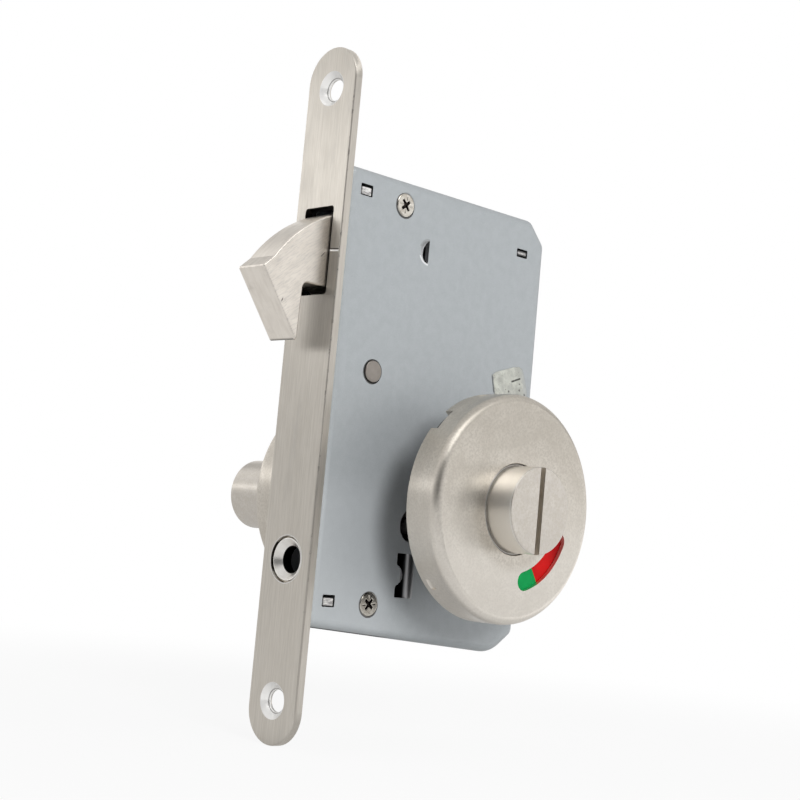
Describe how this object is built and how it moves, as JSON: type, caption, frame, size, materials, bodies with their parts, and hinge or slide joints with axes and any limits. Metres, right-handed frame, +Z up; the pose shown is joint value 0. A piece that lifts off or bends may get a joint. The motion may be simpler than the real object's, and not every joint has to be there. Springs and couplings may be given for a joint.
{
  "type": "sliding door hook lock",
  "caption": "Mortice hook lock for a sliding door, with round roses, a coin release with red and green indicator, and a thumb turn that swings the hook.",
  "frame": {"origin": "midway between the two faceplate screws, on the faceplate's back face, where it seats in the door's edge", "axes": "+X into the door from the faceplate, +Y towards the inner side with the thumb turn, +Z up"},
  "size_m": [0.0878, 0.0998, 0.1576],
  "materials": {
    "satin_stainless": "satin brushed stainless steel",
    "hook_steel": "satin hardened steel",
    "zinc_sheet": "dull blue-grey zinc coated sheet",
    "nickel": "bright nickel plate",
    "plain_steel": "plain machined steel",
    "spring_steel": "blued spring steel",
    "black_plastic": "black moulded plastic",
    "white_plastic": "white moulded plastic",
    "green_sign": "glossy green",
    "red_sign": "glossy red",
    "label_film": "pale film"
  },
  "bodies": {
    "lock_body": {"faceplate": "satin_stainless", "faceplate_ferrule": "nickel", "case_shell": "zinc_sheet", "case_backplate": "zinc_sheet", "case_screws": "nickel", "case_posts": "plain_steel", "hook_pivot_pin": "plain_steel", "pivot_washers": "plain_steel", "detent_spring": "spring_steel", "detent_post": "plain_steel", "outer_rose_cover": "satin_stainless", "outer_rose_base": "black_plastic", "outer_rose_bush": "white_plastic", "inner_rose_cover": "satin_stainless", "inner_rose_base": "black_plastic", "inner_rose_bush": "white_plastic", "bolt_inserts": "plain_steel", "rose_bolts": "plain_steel", "inspection_label": "label_film"},
    "turning_gear": {"hub_crank": "plain_steel", "crank_pin": "plain_steel", "crank_roller": "plain_steel", "spindle": "plain_steel", "release_knob": "satin_stainless", "thumb_turn": "satin_stainless", "grub_screw": "plain_steel", "outer_clip": "spring_steel", "inner_clip": "spring_steel", "indicator_disc": "white_plastic", "indicator_green": "green_sign", "indicator_red": "red_sign"},
    "hook": {"hook_bolt": "hook_steel"}
  },
  "joints": [
    {"name": "turn", "type": "hinge", "parent": "lock_body", "child": "turning_gear", "pos_m": [0.038, 0, -0.02225], "axis": [0, -1, 0], "range_deg": [0, 90], "deforming": ["detent_spring"]},
    {"name": "hook_swing", "type": "hinge", "parent": "lock_body", "child": "hook", "pos_m": [0.0125, 0, 0.0059], "axis": [0, 1, 0], "range_deg": [0, 40]}
  ],
  "couplings": [
    {"joint": "hook_swing", "follows": "turn", "ratio": 0.44444}
  ]
}
